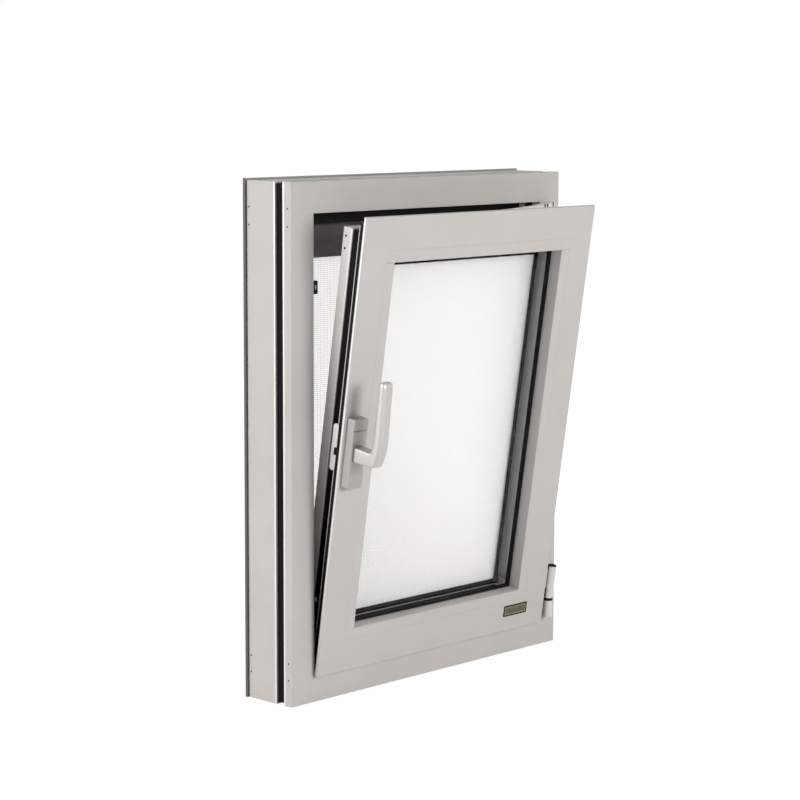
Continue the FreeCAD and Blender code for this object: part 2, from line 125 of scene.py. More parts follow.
satin = addNode(tree, "MapRange", {"To Min": 0.4, "To Max": 0.52}, {"Value": cloud.outputs["Fac"]})
pebble = addNode(tree, "Bump", {"Strength": 0.25, "Distance": coat["depth"]},
                 {"Height": grit.outputs["Fac"]})
wire(tree, shader, {"Base Color": tone.outputs["Color"], "Roughness": satin.outputs["Result"],
                    "Normal": pebble.outputs["Normal"]})
finishes["greyCoat"] = material

# The same powder coat on the sash's outer profiles, painted paler as painted light, since they stand in the
# frame's shade.
paintedLightCoat = {"light": "#E0DCD8", "shade": "#D8D4D0", "grit": 2.0 * mm, "depth": 0.05 * mm}
material, tree, shader, place = newFinish("powderCoatPaintedLight", {
    "Roughness": 0.46, "IOR": 1.5, "Specular IOR Level": 0.35})
grit = addNode(tree, "TexNoise", {"Scale": 1 / paintedLightCoat["grit"], "Detail": 3.0}, {"Vector": place})
tone = addNode(tree, "ValToRGB", {"stops": [(0.3, paintedLightCoat["shade"]), (0.7, paintedLightCoat["light"])]},
               {"Fac": grit.outputs["Fac"]})
pebble = addNode(tree, "Bump", {"Strength": 0.25, "Distance": paintedLightCoat["depth"]},
                 {"Height": grit.outputs["Fac"]})
wire(tree, shader, {"Base Color": tone.outputs["Color"], "Normal": pebble.outputs["Normal"]})
finishes["paintedLightCoat"] = material

# The same process in graphite grey on the roller cassette and the rear side strips: darker, a little rougher.
# On the side strips this dark grey is painted shade, standing for the frame's coat in shade.
graphiteAndShade = {"light": "#5D5C5B", "shade": "#51504F", "grit": 2.0 * mm, "depth": 0.06 * mm}
material, tree, shader, place = newFinish("graphiteCoatAndPaintedShade", {
    "Metallic": 0.0, "Roughness": 0.55, "IOR": 1.5})
grit = addNode(tree, "TexNoise", {"Scale": 1 / graphiteAndShade["grit"], "Detail": 3.0}, {"Vector": place})
tone = addNode(tree, "ValToRGB", {"stops": [(0.3, graphiteAndShade["shade"]), (0.7, graphiteAndShade["light"])]},
               {"Fac": grit.outputs["Fac"]})
pebble = addNode(tree, "Bump", {"Strength": 0.3, "Distance": graphiteAndShade["depth"]},
                 {"Height": grit.outputs["Fac"]})
wire(tree, shader, {"Base Color": tone.outputs["Color"], "Normal": pebble.outputs["Normal"]})
finishes["graphiteAndPaintedShade"] = material

# Die-cast zinc under silver lacquer, on the lever: smooth, pale, with a soft broad highlight.
silver = {"light": "#C7C4C0", "shade": "#BCB9B5", "flake": 1.2 * mm}
material, tree, shader, place = newFinish("silverLacquerOnZinc", {
    "Metallic": 0.45, "Coat Weight": 0.25, "Coat Roughness": 0.2})
flake = addNode(tree, "TexNoise", {"Scale": 1 / silver["flake"], "Detail": 4.0}, {"Vector": place})
tone = addNode(tree, "ValToRGB", {"stops": [(0.3, silver["shade"]), (0.7, silver["light"])]},
               {"Fac": flake.outputs["Fac"]})
gloss = addNode(tree, "MapRange", {"To Min": 0.36, "To Max": 0.48}, {"Value": flake.outputs["Fac"]})
wire(tree, shader, {"Base Color": tone.outputs["Color"], "Roughness": gloss.outputs["Result"]})
finishes["silverLacquer"] = material

# Satin-anodised aluminium on the handle's base and the keepers' plates: a deeper silver, brushed upright, so
# it stays quieter than the lever; on the base the deeper silver is also painted shade for the grip's shadow
# on it.
deepSilverAndShade = {"light": "#B2AFAB", "shade": "#A6A39F", "brush": 0.7 * mm, "length": 25 * mm}
material, tree, shader, place = newFinish("satinAnodisedCoverAndPaintedShade", {"Metallic": 0.4, "Roughness": 0.38})
along = addNode(tree, "Mapping", {"Scale": (1 / deepSilverAndShade["brush"], 1 / deepSilverAndShade["brush"], 1 / deepSilverAndShade["length"])},
                {"Vector": place})
brush = addNode(tree, "TexNoise", {"Scale": 1.0, "Detail": 3.0}, {"Vector": along.outputs[0]})
tone = addNode(tree, "ValToRGB", {"stops": [(0.3, deepSilverAndShade["shade"]), (0.7, deepSilverAndShade["light"])]},
               {"Fac": brush.outputs["Fac"]})
wire(tree, shader, {"Base Color": tone.outputs["Color"]})
finishes["deepSilverAndPaintedShade"] = material

# Mid-grey powder coat on the strip over the head: a cooler, darker copy of the frame's coat, painted shade so
# that the strip stands apart from it.
stripCoatPaintedShade = {"light": "#A7A9A5", "shade": "#9B9D99", "grit": 2.0 * mm}
material, tree, shader, place = newFinish("midGreyCoatPaintedShade", {
    "Roughness": 0.5, "IOR": 1.5, "Specular IOR Level": 0.3})
grit = addNode(tree, "TexNoise", {"Scale": 1 / stripCoatPaintedShade["grit"], "Detail": 3.0}, {"Vector": place})
tone = addNode(tree, "ValToRGB", {"stops": [(0.3, stripCoatPaintedShade["shade"]), (0.7, stripCoatPaintedShade["light"])]},
               {"Fac": grit.outputs["Fac"]})
wire(tree, shader, {"Base Color": tone.outputs["Color"]})
finishes["stripCoatPaintedShade"] = material

# Hinge barrels and stay bearing: die-cast zinc in a paler, flatter lacquer than the lever's.
pale = {"light": "#E2DBD8", "shade": "#D8D1CE", "flake": 1.2 * mm}
material, tree, shader, place = newFinish("paleLacquerOnZinc", {
    "Metallic": 0.1, "Roughness": 0.35, "Coat Weight": 0.2})
flake = addNode(tree, "TexNoise", {"Scale": 1 / pale["flake"], "Detail": 4.0}, {"Vector": place})
tone = addNode(tree, "ValToRGB", {"stops": [(0.3, pale["shade"]), (0.7, pale["light"])]},
               {"Fac": flake.outputs["Fac"]})
wire(tree, shader, {"Base Color": tone.outputs["Color"]})
finishes["paleLacquer"] = material

# Glass-fibre polyamide, extruded: near black and dull, with faint drawn streaks along every bar.
# The same black is also laid as painted shade in the gap beside the upper hinge barrel.
polyamide = {"dark": "#070606", "light": "#0F0E0D", "streak": 3.0 * mm}
material, tree, shader, place = newFinish("glassFibrePolyamideAndPaintedShade", {
    "IOR": 1.53, "Roughness": 0.6, "Specular IOR Level": 0.08})
across = addNode(tree, "Mapping", {"Scale": (1.0, 1 / polyamide["streak"], 1.0)}, {"Vector": place})
streak = addNode(tree, "TexNoise", {"Scale": 1.0, "Detail": 3.0}, {"Vector": across.outputs[0]})
tone = addNode(tree, "ValToRGB", {"stops": [(0.3, polyamide["dark"]), (0.75, polyamide["light"])]},
               {"Fac": streak.outputs["Fac"]})
wire(tree, shader, {"Base Color": tone.outputs["Color"]})
finishes["polyamide"] = material

# EPDM rubber, extruded: black, matt, with a faint bloom.
rubber = {"dark": "#0B0B0B", "bloom": "#171615", "cloud": 6.0 * mm, "depth": 0.05 * mm}
material, tree, shader, place = newFinish("epdmRubber", {"IOR": 1.48, "Specular IOR Level": 0.15})
cloud = addNode(tree, "TexNoise", {"Scale": 1 / rubber["cloud"], "Detail": 4.0}, {"Vector": place})
tone = addNode(tree, "ValToRGB", {"stops": [(0.35, rubber["dark"]), (0.8, rubber["bloom"])]},
               {"Fac": cloud.outputs["Fac"]})
dull = addNode(tree, "MapRange", {"To Min": 0.55, "To Max": 0.75}, {"Value": cloud.outputs["Fac"]})
skin = addNode(tree, "Bump", {"Strength": 0.2, "Distance": rubber["depth"]},
               {"Height": cloud.outputs["Fac"]})
wire(tree, shader, {"Base Color": tone.outputs["Color"], "Roughness": dull.outputs["Result"],
                    "Normal": skin.outputs["Normal"]})
finishes["rubber"] = material

# Black zinc-nickel plating on the locking steel: dark, satin, with uneven bath marks.
blackPlate = {"dark": "#151515", "light": "#2C2B2A", "mark": 4.0 * mm}
material, tree, shader, place = newFinish("blackZincNickel", {"Metallic": 0.8})
mark = addNode(tree, "TexNoise", {"Scale": 1 / blackPlate["mark"], "Detail": 3.0}, {"Vector": place})
tone = addNode(tree, "ValToRGB", {"stops": [(0.3, blackPlate["dark"]), (0.75, blackPlate["light"])]},
               {"Fac": mark.outputs["Fac"]})
satin = addNode(tree, "MapRange", {"To Min": 0.35, "To Max": 0.5}, {"Value": mark.outputs["Fac"]})
wire(tree, shader, {"Base Color": tone.outputs["Color"], "Roughness": satin.outputs["Result"]})
finishes["blackPlating"] = material

# Bright zinc-plated steel, pressed: silvery, brushed along its length by the strip mill.
# The same bright metal is also laid on thin edge strips as painted highlights.
zincAndHighlight = {"light": "#F0F0ED", "shade": "#DDDDD9", "brush": 0.6 * mm, "length": 30 * mm}
material, tree, shader, place = newFinish("zincPlatedSteelAndPaintedHighlights", {"Metallic": 0.5})
along = addNode(tree, "Mapping", {"Scale": (1 / zincAndHighlight["brush"], 1 / zincAndHighlight["brush"], 1 / zincAndHighlight["length"])},
                {"Vector": place})
brush = addNode(tree, "TexNoise", {"Scale": 1.0, "Detail": 3.0}, {"Vector": along.outputs[0]})
tone = addNode(tree, "ValToRGB", {"stops": [(0.3, zincAndHighlight["shade"]), (0.7, zincAndHighlight["light"])]},
               {"Fac": brush.outputs["Fac"]})
gloss = addNode(tree, "MapRange", {"To Min": 0.25, "To Max": 0.42}, {"Value": brush.outputs["Fac"]})
wire(tree, shader, {"Base Color": tone.outputs["Color"], "Roughness": gloss.outputs["Result"]})
finishes["zincSteelAndPaintedHighlights"] = material

# Mill-finish aluminium spacer, rolled and perforated: grey metal with a line of small holes.
# The real holes are about 2 mm apart; they are drawn 5 mm apart so that they show.
spacerMetal = {"metal": "#A2A39F", "hole": "#5A5A58", "pitch": 5.0 * mm}
material, tree, shader, place = newFinish("millFinishAluminium", {"Metallic": 0.35, "Roughness": 0.42})
holes = addNode(tree, "TexVoronoi", {"Scale": 1 / spacerMetal["pitch"], "Randomness": 0.0},
                {"Vector": place})
tone = addNode(tree, "ValToRGB", {"stops": [(0.16, spacerMetal["hole"]), (0.24, spacerMetal["metal"])]},
               {"Fac": holes.outputs["Distance"]})
wire(tree, shader, {"Base Color": tone.outputs["Color"]})
finishes["spacerMetal"] = material

# PVC-coated glass-fibre yarn, woven and heat-set: off-white, matt, slightly uneven from thread to thread.
yarn = {"light": "#E9E1D6", "shade": "#CBC2B4", "slub": 3.0 * mm}
material, tree, shader, place = newFinish("coatedScreenYarn", {"Roughness": 0.7, "IOR": 1.54})
slub = addNode(tree, "TexNoise", {"Scale": 1 / yarn["slub"], "Detail": 2.0}, {"Vector": place})
tone = addNode(tree, "ValToRGB", {"stops": [(0.3, yarn["shade"]), (0.7, yarn["light"])]},
               {"Fac": slub.outputs["Fac"]})
wire(tree, shader, {"Base Color": tone.outputs["Color"]})
finishes["screenYarn"] = material

# Float glass: clear, faintly green, with the long low ripple of the tin bath in its gloss.
sheet = {"tint": "#FAFCFA", "ripple": 60 * mm, "depth": 0.01 * mm}
material, tree, shader, place = newFinish("floatGlass", {
    "Base Color": toLinear(sheet["tint"]), "Roughness": 0.0, "IOR": 1.52, "Transmission Weight": 1.0,
    "Alpha": 0.03})
ripple = addNode(tree, "TexNoise", {"Scale": 1 / sheet["ripple"], "Detail": 1.0}, {"Vector": place})
wave = addNode(tree, "Bump", {"Strength": 0.1, "Distance": sheet["depth"]},
               {"Height": ripple.outputs["Fac"]})
wire(tree, shader, {"Normal": wave.outputs["Normal"]})
finishes["clearGlass"] = material

# Acid-etched glass: the etched face scatters all that comes through, so the pane reads as an even pale white.
# Its white is painted darker towards the lock side, where most light falls, and lighter towards the hinge
# side, where the sash's reveal shades it: painted light and shade that keep the pane even.
etched = {"light": "#FDFDFC", "shade": "#E8E8E6", "frost": 1.5 * mm, "frostShare": 0.1,
          "paintedLightRamp": (2.4, 0.0, 0.0), "range": (-0.45, 0.55)}
material, tree, shader, place = newFinish("acidEtchedGlass", {
    "Roughness": 0.8, "IOR": 1.52, "Specular IOR Level": 0.2, "Transmission Weight": 0.65})
frost = addNode(tree, "TexNoise", {"Scale": 1 / etched["frost"], "Detail": 3.0}, {"Vector": place})
# painted light and shade: the white ramps along x from darker on the lock side to lighter on the hinge side
paintedLightRamp = addNode(tree, "VectorMath", {"operation": "DOT_PRODUCT", 1: etched["paintedLightRamp"]}, {0: place})
frostAndPaintedLight = addNode(tree, "Math", {"operation": "MULTIPLY_ADD", 1: etched["frostShare"]},
               {0: frost.outputs["Fac"], 2: paintedLightRamp.outputs["Value"]})
frostAndPaintedLight = addNode(tree, "MapRange", {"From Min": etched["range"][0], "From Max": etched["range"][1]},
               {"Value": frostAndPaintedLight.outputs[0]})
tone = addNode(tree, "ValToRGB", {"stops": [(0.0, etched["shade"]), (1.0, etched["light"])]},
               {"Fac": frostAndPaintedLight.outputs["Result"]})
wire(tree, shader, {"Base Color": tone.outputs["Color"]})
finishes["etchedGlass"] = material

# Anodised aluminium plate in dark bronze: thin coloured oxide over brushed metal, quiet gloss.
bronze = {"light": "#6B6253", "shade": "#524A3E", "brush": 0.8 * mm, "length": 20 * mm}
material, tree, shader, place = newFinish("bronzeAnodised", {"Metallic": 0.7, "Roughness": 0.38})
along = addNode(tree, "Mapping", {"Scale": (1 / bronze["length"], 1 / bronze["brush"], 1 / bronze["brush"])},
                {"Vector": place})
brush = addNode(tree, "TexNoise", {"Scale": 1.0, "Detail": 3.0}, {"Vector": along.outputs[0]})
tone = addNode(tree, "ValToRGB", {"stops": [(0.3, bronze["shade"]), (0.7, bronze["light"])]},
               {"Fac": brush.outputs["Fac"]})
wire(tree, shader, {"Base Color": tone.outputs["Color"]})
finishes["bronzePlate"] = material

# Brass-coloured anodised line on the plate: the same oxide in a pale straw tone, finely brushed.
straw = {"light": "#A79C82", "shade": "#8C8269", "brush": 0.8 * mm}
material, tree, shader, place = newFinish("strawAnodised", {"Metallic": 0.7, "Roughness": 0.35})
brush = addNode(tree, "TexNoise", {"Scale": 1 / straw["brush"], "Detail": 2.0}, {"Vector": place})
tone = addNode(tree, "ValToRGB", {"stops": [(0.3, straw["shade"]), (0.7, straw["light"])]},
               {"Fac": brush.outputs["Fac"]})
wire(tree, shader, {"Base Color": tone.outputs["Color"]})
finishes["brassLine"] = material

# Black ceramic enamel fired onto the pane's edge: deep black with hardly any gloss.
enamel = {"dark": "#050505", "light": "#0A0A0A", "speck": 1.5 * mm}
material, tree, shader, place = newFinish("blackCeramicEnamel", {
    "Roughness": 0.5, "IOR": 1.52, "Specular IOR Level": 0.05})
speck = addNode(tree, "TexNoise", {"Scale": 1 / enamel["speck"], "Detail": 2.0}, {"Vector": place})
tone = addNode(tree, "ValToRGB", {"stops": [(0.3, enamel["dark"]), (0.7, enamel["light"])]},
               {"Fac": speck.outputs["Fac"]})
wire(tree, shader, {"Base Color": tone.outputs["Color"]})
finishes["ceramicBlack"] = material
print("finishes:", ", ".join(finishes))

finishOfNodes = {
    "greyCoat": ["frame_inner_head", "frame_inner_left", "frame_inner_right", "frame_inner_sill",
                 "frame_outer_head", "frame_outer_left", "frame_outer_right", "frame_outer_sill",
                 "sash_inner_top", "sash_inner_bottom", "sash_inner_left", "sash_inner_right",
                 "bead_top", "bead_bottom", "bead_left", "bead_right",
                 "screen_guides", "screen_rail"],
    # painted light: the sash's outer profiles carry a paler copy of the frame's coat
    "paintedLightCoat": ["sash_outer_top", "sash_outer_bottom", "sash_outer_left", "sash_outer_right"],
    # painted shade: the strip over the head carries a darker copy of the frame's coat
    "stripCoatPaintedShade": ["flange_head"],
    # painted shade on the side strips; the cassette keeps its own graphite grey
    "graphiteAndPaintedShade": ["flange_left", "flange_right", "screen_cassette"],
    "silverLacquer": ["handle_lever"],
    # painted shade: the handle's base carries a deeper silver than the lever
    "deepSilverAndPaintedShade": ["handle_base"],
    "paleLacquer": ["hinge_lower", "hinge_upper", "stay_bearing"],
    "polyamide": ["frame_breaks", "sash_breaks", "setting_blocks"],
    "rubber": ["centre_seal", "overlap_seal", "glazing_seal_inner", "glazing_seal_outer"],
    "blackPlating": ["keepers", "hinge_ring", "drive_rails"],
    "zincSteelAndPaintedHighlights": ["lock_faceplate", "stay_arm"],
    "spacerMetal": ["glass_spacer"],
    "screenYarn": ["insect_screen"],
    "clearGlass": ["glass_inner"],
    "etchedGlass": ["glass_outer"],
}
for finish, names in finishOfNodes.items():
    for name in names:
        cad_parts[name].data.materials.clear()
        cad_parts[name].data.materials.append(finishes[finish])
bare = set(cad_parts) - {name for names in finishOfNodes.values() for name in names}
print("nodes with a finish:", len(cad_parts) - len(bare), "without:", sorted(bare))


def gridPiece(name, patches, finish, body="window", wrap=False):
    # patches hold copies x rows x columns of places in mm; each four neighbours in a copy make one face,
    # wrap joins the last column to the first, and rows that meet in one point are merged into a pole
    copies, rows, columns = patches.shape[:3]
    index = np.arange(rows * columns).reshape(rows, columns)
    if wrap:
        index = np.hstack([index, index[:, :1]])
    quads = np.stack([index[:-1, :-1], index[:-1, 1:], index[1:, 1:], index[1:, :-1]], -1).reshape(-1, 4)
    quads = (np.arange(copies)[:, None, None] * rows * columns + quads).reshape(-1, 4)
    mesh = bpy.data.meshes.new(name)
    mesh.from_pydata((patches.reshape(-1, 3) * mm).tolist(), [], quads.tolist())
    work = bmesh.new()
    work.from_mesh(mesh)
    bmesh.ops.remove_doubles(work, verts=work.verts, dist=1e-6)
    bmesh.ops.recalc_face_normals(work, faces=work.faces)
    work.to_mesh(mesh)
    work.free()
    piece = bpy.data.objects.new(name, mesh)
    bpy.context.scene.collection.objects.link(piece)
    mesh.materials.append(finishes[finish])
    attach(piece, body)
    return piece


# Insect screen: two sets of straight threads, each a four-sided rod from edge to edge of the held cloth.
# A real cloth has 1.1 mm between threads; these stand three times as wide so that the weave shows.
cloth = {"pitch": 3.2, "thread": 0.6, "first": 1.0, "last": 0.5, "apart": 0.12}
low, high = [np.array(corner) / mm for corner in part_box("insect_screen")]
xs = np.arange(low[0] + cloth["first"], high[0] - cloth["last"], cloth["pitch"])
zs = np.arange(low[2] + cloth["first"], high[2] - cloth["last"], cloth["pitch"])
turn = ring(4)
middleY = (low[1] + high[1]) / 2
warp = np.zeros((len(xs), 2, 4, 3))
warp[..., 0] = xs[:, None, None] + cloth["thread"] / 2 * np.cos(turn)
warp[..., 1] = middleY - cloth["apart"] + cloth["thread"] / 2 * np.sin(turn)
warp[..., 2] = np.array([low[2], high[2]])[:, None]
weft = np.zeros((len(zs), 2, 4, 3))
weft[..., 0] = np.array([low[0], high[0]])[:, None]
weft[..., 1] = middleY + cloth["apart"] + cloth["thread"] / 2 * np.cos(turn)
weft[..., 2] = zs[:, None, None] + cloth["thread"] / 2 * np.sin(turn)
screen = gridPiece("screenCloth", np.concatenate([warp, weft]), "screenYarn", wrap=True)
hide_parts("insect_screen")
print("screen cloth of", len(xs), "by", len(zs), "threads")

# Corner pins on the frame's sides: a flat rim falls into a shallow dish, turned round the pin's axis.
pins = {"depths": (-57.5, 26.0), "heights": (41.0, 67.0, 733.0, 760.0), "radius": 1.5, "side": 311.0,
        "sides": 16, "shares": (1.0, 0.96, 0.8, 0.55, 0.0), "stand": (-0.3, 0.22, 0.25, 0.08, 0.05)}
sweep = ring(pins["sides"])
radii = np.array(pins["shares"])[:, None] * pins["radius"]
spots = np.array([(side, y, z) for side in (-1, 1) for y in pins["depths"] for z in pins["heights"]])
spots = spots[:, None, None]
dish = np.zeros((len(spots), len(radii), len(sweep), 3))
dish[..., 0] = spots[..., 0] * (pins["side"] + np.array(pins["stand"])[:, None])
dish[..., 1] = spots[..., 1] + radii * np.cos(sweep)
dish[..., 2] = spots[..., 2] + radii * np.sin(sweep)
gridPiece("cornerPins", dish, "blackPlating", wrap=True)

# Screws in the outer edge of both stiles: a low dome, cut by a cross where the angle is near a quarter turn.
screws = {"inset": 27.0, "depth": 64.5, "heights": (717.0, 698.0), "radius": 2.0, "dome": 0.7, "rings": 7,
          "sides": 32, "crossWide": 0.4, "crossReach": 0.75, "crossDeep": 0.4, "dimple": 0.15, "least": 0.02}
share = np.linspace(1, 0, screws["rings"])[:, None]
radii = share * screws["radius"]
sweep = ring(screws["sides"])
cross = (np.abs(np.sin(2 * sweep)) < screws["crossWide"]) & (share < screws["crossReach"])
rise = screws["dome"] * (1 - share ** 2) - screws["crossDeep"] * cross - screws["dimple"] * (share == 0)
spots = np.array([(side, z) for side in (-1, 1) for z in screws["heights"]])[:, None, None]
heads = np.zeros((len(spots), len(radii), len(sweep), 3))
heads[..., 0] = spots[..., 0] * (sash["half"] - screws["inset"] + np.maximum(rise, screws["least"]))
heads[..., 1] = sash["faceY"] + screws["depth"] + radii * np.cos(sweep)
heads[..., 2] = spots[..., 1] + radii * np.sin(sweep)
gridPiece("edgeScrews", leaned(heads), "blackPlating", wrap=True)


def rectangleRings(halfA, halfB, corner, inward, proud):
    # rings of a round-cornered rectangle, each one step further in and at its own height; where the last step
    # is the full half width, that ring closes on a line
    around = ring(48)
    quarter = (np.floor(around / (pi / 2) + 1e-6) + 0.5) * pi / 2
    inward = np.array(inward)[:, None]
    turnIn = np.clip(min(halfA, halfB) - inward, 0, corner)
    a = turnIn * np.cos(around) + np.sign(np.cos(quarter)) * (halfA - inward - turnIn)
    b = turnIn * np.sin(around) + np.sign(np.sin(quarter)) * (halfB - inward - turnIn)
    return a, b, np.array(proud)[:, None] + 0 * a


# Bare plate on the bottom rail: a dark rounded rim, a bronze field inside it, a thin straw line on the field.
plate = {"x": 192.5, "z": 75.5, "halfX": 29.0, "halfZ": 9.5, "corner": 1.2,
         "railPlate": ([0, 0, 0.3, 1.6, 2.0, 9.5], [-0.2, 0.6, 0.9, 0.9, 0.5, 0.5],
                       "blackPlating", "black_hardware"),
         "railPlateField": ([1.9, 2.1, 9.5], [0.4, 0.62, 0.62], "bronzePlate", "black_plastic"),
         "railPlateLine": ([3.2, 3.3, 4.3, 4.4], [0.6, 0.85, 0.85, 0.6], "brassLine", "bright_steel")}
for name in ("railPlate", "railPlateField", "railPlateLine"):
    inward, proud, finish, slot = plate[name]
    a, b, rise = rectangleRings(plate["halfX"], plate["halfZ"], plate["corner"], inward, proud)
    field = np.stack([plate["x"] + a, sash["faceY"] - rise, plate["z"] + b], -1)[None]
    gridPiece(name, leaned(field), finish, wrap=True)

# Painted highlights on the frame's two sides, on the lips that hold the polyamide bars: four long bright pads
# with rounded rims.
lipHighlights = {"side": 311.0, "depths": (-49.0, -29.0), "middle": 400.0, "reach": 399.4, "half": 1.7, "corner": 0.5,
        "inward": [0, 0, 0.3, 1.7], "proud": [-0.1, 0.15, 0.3, 0.3]}
a, b, rise = rectangleRings(lipHighlights["reach"], lipHighlights["half"], lipHighlights["corner"], lipHighlights["inward"], lipHighlights["proud"])
edges = np.stack([np.stack([side * (lipHighlights["side"] + rise), y + b, lipHighlights["middle"] + a], -1)
                  for side in (-1, 1) for y in lipHighlights["depths"]])
gridPiece("breakLipHighlights", edges, "zincSteelAndPaintedHighlights", wrap=True)

# The same painted highlight on the edge of the sash's lip and of its outer profile, at both stiles: thin
# bright pads.
edgeHighlights = {"half": 1.2, "corner": 0.5, "inward": [0, 0, 0.2, 1.2], "proud": [-0.1, 0.1, 0.2, 0.2],
        "lipEdgeHighlights": (0.0, 2.5, 357.0), "stripEdgeHighlights": (27.0, 54.0, 330.0)}
for name in ("lipEdgeHighlights", "stripEdgeHighlights"):
    inset, depth, reach = edgeHighlights[name]
    a, b, rise = rectangleRings(reach, edgeHighlights["half"], edgeHighlights["corner"], edgeHighlights["inward"], edgeHighlights["proud"])
    out = sash["half"] - inset + rise
    edges = np.stack([np.stack([side * out, sash["faceY"] + depth + b, sashMiddle + a], -1)
                      for side in (-1, 1)])
    gridPiece(name, leaned(edges), "zincSteelAndPaintedHighlights", wrap=True)

# Pressed plates in the keepers: a flat pad with a rounded rim, one on each.
inserts = {"x": -257.2, "y": -62.5, "heights": (160.0, 640.0), "halfX": 1.7, "halfZ": 3.4, "corner": 0.8,
           "inward": [0, 0, 0.3, 1.7], "proud": [-0.2, 0.2, 0.4, 0.4]}
a, b, rise = rectangleRings(inserts["halfX"], inserts["halfZ"], inserts["corner"],
                            inserts["inward"], inserts["proud"])
plates = np.stack([np.stack([inserts["x"] + a, inserts["y"] - rise, z + b], -1)
                   for z in inserts["heights"]])
gridPiece("keeperInserts", plates, "deepSilverAndPaintedShade", wrap=True)

# Black cam behind the notch of the lock faceplate: a low pad with a rounded rim.
cam = {"inset": 17.0, "depth": 28.0, "z": 393.0, "halfE": 2.6, "halfZ": 5.8, "corner": 0.6,
       "inward": [0, 0, 0.4, 2.6], "proud": [-0.2, 0.25, 0.4, 0.4]}
a, b, rise = rectangleRings(cam["halfE"], cam["halfZ"], cam["corner"], cam["inward"], cam["proud"])
pad = np.stack([cam["inset"] - sash["half"] - rise, sash["faceY"] + cam["depth"] + a, cam["z"] + b], -1)
gridPiece("lockCam", leaned(pad[None]), "polyamide", wrap=True)

# Black border on the outer pane that hides the edge seal: a thin band between two rectangles.
border = {"outer": 63.0, "inner": 73.4, "innerTop": 88.6, "innerBottom": 73.2, "depth": 55.0, "thick": 0.3}
inset, insetTop, insetBottom = [np.repeat([border["outer"], border[edge]], 2)[:, None]
                                for edge in ("inner", "innerTop", "innerBottom")]
band = np.zeros((1, 4, 4, 3))
band[..., 0] = np.array([-1, 1, 1, -1]) * (sash["half"] - inset)
band[..., 1] = sash["faceY"] + border["depth"] - np.array([0, 1, 1, 0])[:, None] * border["thick"]
band[..., 2] = np.where([True, True, False, False], sash["bottom"] + insetBottom, sash["top"] - insetTop)
gridPiece("paneBorder", leaned(band), "ceramicBlack", wrap=True)

# Corner keys of the spacer: a strip bent round each inside corner, an arc between two short legs.
keys = {"face": 64.0, "leg": 13.0, "bend": 3.0, "bendSteps": 7, "from": 37.0, "to": 50.0, "thick": 0.5}
bendTurn = np.linspace(0, pi / 2, keys["bendSteps"])
inX = np.concatenate([[keys["leg"]], keys["bend"] * (1 - np.sin(bendTurn)), [0]])[:, None]
inZ = np.concatenate([[0], keys["bend"] * (1 - np.cos(bendTurn)), [keys["leg"]]])[:, None]
normalX = np.concatenate([[0], np.sin(bendTurn), [1]])[:, None]
normalZ = np.concatenate([[1], np.cos(bendTurn), [0]])[:, None]
lift = np.array([0, 1, 1, 0]) * keys["thick"]
corners = np.array([(-1, -1), (1, -1), (1, 1), (-1, 1)])[:, None, None]
strip = np.zeros((4, len(inX), 4, 3))
strip[..., 0] = corners[..., 0] * (sash["half"] - keys["face"] - inX - normalX * lift)
strip[..., 1] = sash["faceY"] + np.array([keys["from"], keys["from"], keys["to"], keys["to"]])
halfTall = sashMiddle - sash["bottom"] - keys["face"]
strip[..., 2] = sashMiddle + corners[..., 1] * (halfTall - inZ - normalZ * lift)
gridPiece("spacerKeys", leaned(strip), "zincSteelAndPaintedHighlights")

# Sealing compound on the lower spacer, and beside it a painted highlight along the spacer's bright edge: two
# long low pads.
pads = {"face": 64.0, "reach": 201.0, "corner": 0.5, "proud": [-0.1, 0.15, 0.3, 0.3],
        "edgeCompound": (42.0, 8.5, [0, 0, 0.3, 8.5], "polyamide", "black_plastic"),
        "spacerGlint": (52.7, 1.9, [0, 0, 0.2, 1.9], "zincSteelAndPaintedHighlights", "bright_steel")}
for name in ("edgeCompound", "spacerGlint"):
    depth, halfE, inward, finish, slot = pads[name]
    a, b, rise = rectangleRings(pads["reach"], halfE, pads["corner"], inward, pads["proud"])
    pad = np.stack([a, sash["faceY"] + depth + b, sash["bottom"] + pads["face"] + rise], -1)
    gridPiece(name, leaned(pad[None]), finish, wrap=True)

# Black cap on the leaning hinge barrel: a low dome turned about the barrel's axis.
cap = {"x": 278.7, "y": -78.0, "top": 139.9, "sides": 32, "radii": (7.55, 7.6, 7.45, 6.3, 4.0, 0.0),
       "levels": (-1.5, -1.1, -0.9, 0.25, 0.45, 0.5)}
sweep = ring(cap["sides"])
radii = np.array(cap["radii"])[:, None]
dome = np.zeros((1, len(radii), len(sweep), 3))
dome[..., 0] = cap["x"] + radii * np.cos(sweep)
dome[..., 1] = cap["y"] + radii * np.sin(sweep)
dome[..., 2] = cap["top"] + np.array(cap["levels"])[:, None]
gridPiece("hingeCap", leaned(dome), "polyamide", wrap=True)

# Black strip between barrel and sash, painted shade for the dark gap there: part of the barrel's round, a
# little thicker, thinned out at its ends.
barrelShadeStrip = {"from": 122.0, "to": 178.0, "steps": 9, "low": 84.0, "high": 139.0, "taper": 0.3,
         "inner": 7.4, "thick": 0.35}
turn = np.radians(np.linspace(barrelShadeStrip["from"], barrelShadeStrip["to"], barrelShadeStrip["steps"]))
turn = np.concatenate([turn, turn[::-1]])
outer = np.repeat([1, 0], barrelShadeStrip["steps"])
radii = barrelShadeStrip["inner"] + np.array([0, 1, 1, 0])[:, None] * outer * barrelShadeStrip["thick"]
shell = np.zeros((1, 4, len(turn), 3))
shell[..., 0] = cap["x"] + radii * np.cos(turn)
shell[..., 1] = cap["y"] + radii * np.sin(turn)
shell[..., 2] = np.array([barrelShadeStrip["low"], barrelShadeStrip["low"] + barrelShadeStrip["taper"],
                          barrelShadeStrip["high"] - barrelShadeStrip["taper"], barrelShadeStrip["high"]])[:, None]
